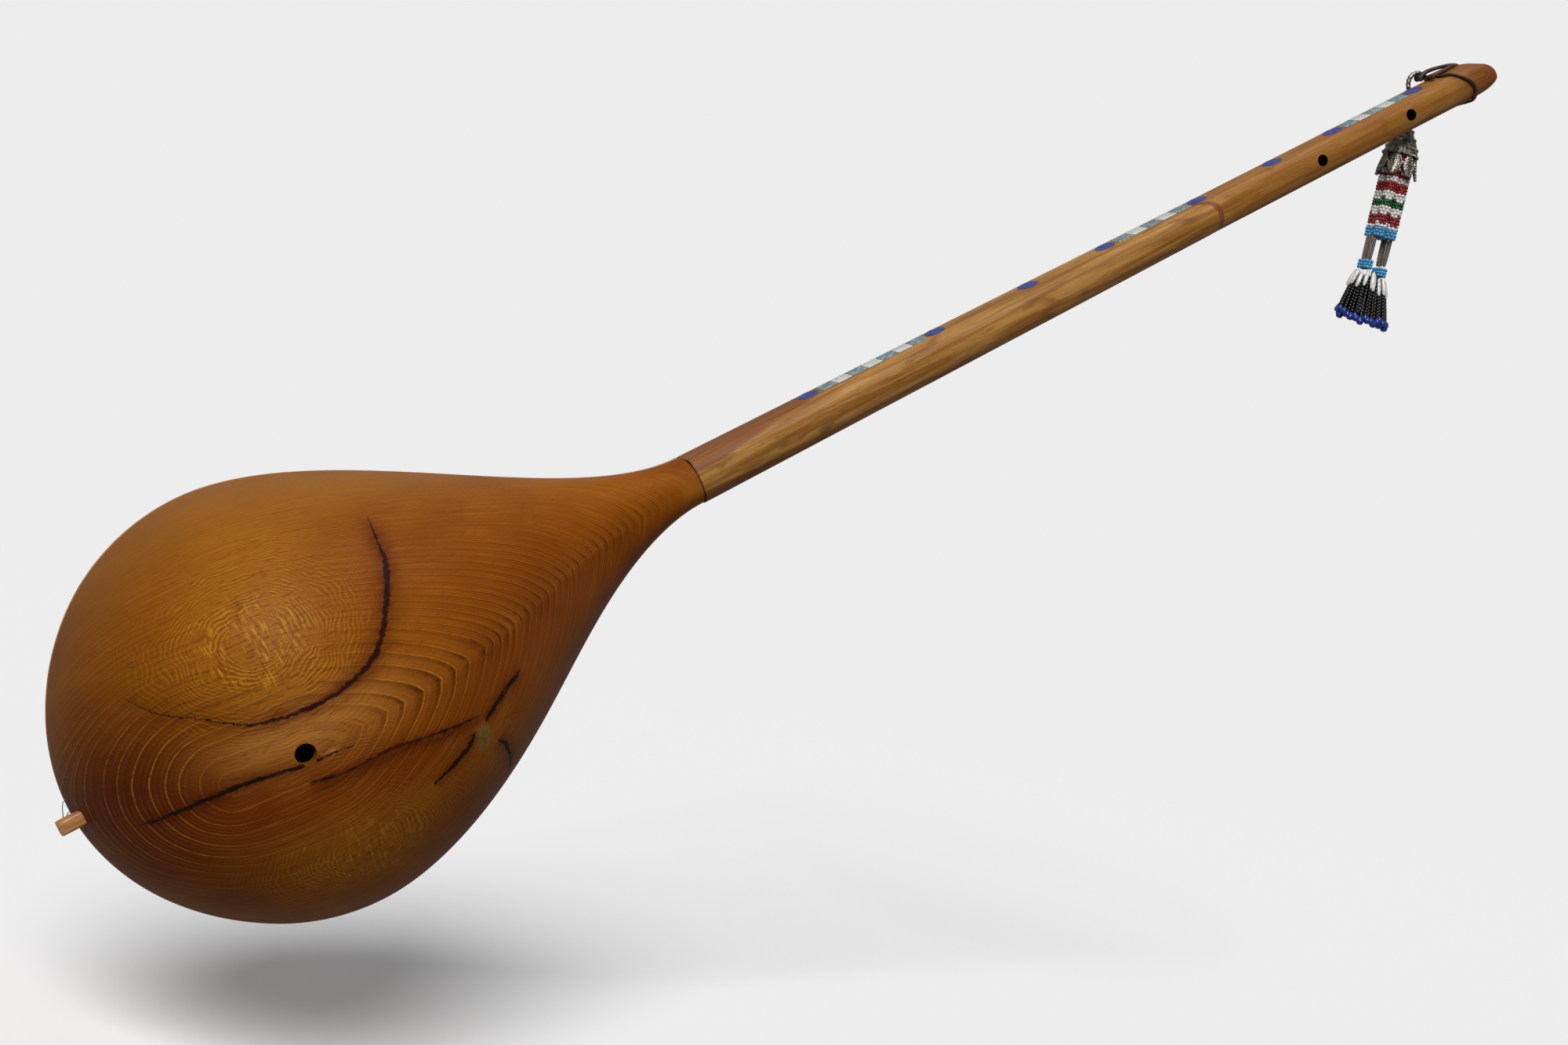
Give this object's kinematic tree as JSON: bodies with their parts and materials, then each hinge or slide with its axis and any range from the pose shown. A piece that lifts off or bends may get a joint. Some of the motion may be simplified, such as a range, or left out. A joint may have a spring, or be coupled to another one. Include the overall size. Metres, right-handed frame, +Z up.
{
  "type": "dutar",
  "caption": "Long-necked lute with a carved pear-shaped bowl, slim fretted neck, strings on turning pegs, inlaid flanks and a bead tassel hung from the head.",
  "frame": {"origin": "middle of the neck's foot, where it meets the bowl, on the front plane of soundboard and neck", "axes": "+Y out of the soundboard towards the listener; the neck rises from -X to +X at 36 degrees above level; +Z up, and the tassel hangs along -Z, leaning a few degrees towards the bowl"},
  "size_m": [0.7723, 0.16, 0.5908],
  "materials": {
    "mulberry": "oiled, carved, strong grain",
    "soundboard": "thin quarter-sawn board, satin",
    "apricot": "oiled, smooth",
    "peg_wood": "turned and carved, satin",
    "steel": "drawn wire",
    "blue_inlay": "polished flush",
    "pearl": "mosaic of pale and blue-green blocks, polished flush",
    "leather": "worn, dark",
    "silver": "silver-coloured filigree, tarnished",
    "cord": "twisted thread",
    "bead": "opaque seed and bugle beads on thread",
    "black_bead": "opaque beads on thread, dark blue hem"
  },
  "bodies": {
    "instrument": {"bowl": "mulberry", "soundboard": "soundboard", "neck": "apricot", "nut": "peg_wood", "bridge": "peg_wood", "tail_pin": "apricot", "string_1": "steel", "string_2": "steel", "thong": "leather", "thong_toggle": "leather", "fret_01": "steel", "fret_02": "steel", "fret_03": "steel", "fret_04": "steel", "fret_05": "steel", "fret_06": "steel", "fret_07": "steel", "fret_08": "steel", "fret_09": "steel", "fret_10": "steel", "fret_11": "steel", "fret_12": "steel", "fret_13": "steel", "marker_upper_1": "blue_inlay", "marker_upper_2": "blue_inlay", "marker_upper_3": "blue_inlay", "marker_upper_4": "blue_inlay", "marker_upper_5": "blue_inlay", "marker_upper_6": "blue_inlay", "marker_upper_7": "blue_inlay", "marker_upper_8": "blue_inlay", "mosaic_upper_1": "pearl", "mosaic_upper_2": "pearl", "mosaic_upper_3": "pearl", "marker_lower_1": "blue_inlay", "marker_lower_2": "blue_inlay", "marker_lower_3": "blue_inlay", "marker_lower_4": "blue_inlay", "marker_lower_5": "blue_inlay", "marker_lower_6": "blue_inlay", "marker_lower_7": "blue_inlay", "marker_lower_8": "blue_inlay", "mosaic_lower_1": "pearl", "mosaic_lower_2": "pearl", "mosaic_lower_3": "pearl"},
    "peg_one": {"peg_1": "peg_wood", "winding_1": "steel"},
    "peg_two": {"peg_2": "peg_wood", "winding_2": "steel"},
    "ring": {"tassel_ring": "silver"},
    "tassel": {"tassel_cord": "cord", "tassel_cap": "silver", "tassel_fringe": "black_bead", "tassel_rope_1": "bead", "tassel_rope_2": "bead", "tassel_rope_3": "bead", "tassel_rope_4": "bead"}
  },
  "joints": [
    {"name": "peg_1_turn", "type": "hinge", "parent": "instrument", "child": "peg_one", "pos_m": [0.34529, 0, 0.25087], "axis": [0, 1, 0], "continuous": true},
    {"name": "peg_2_turn", "type": "hinge", "parent": "instrument", "child": "peg_two", "pos_m": [0.39949, 0, 0.29025], "axis": [0, 1, 0], "continuous": true},
    {"name": "tassel_ring_swing", "type": "hinge", "parent": "instrument", "child": "ring", "pos_m": [0.41676, 0.006, 0.31737], "axis": [0, 1, 0], "range_deg": [-60, 2]},
    {"name": "tassel_sway", "type": "hinge", "parent": "ring", "child": "tassel", "pos_m": [0.41616, 0.006, 0.30699], "axis": [0.9983, 0, -0.0576], "range_deg": [-6, 10]}
  ]
}
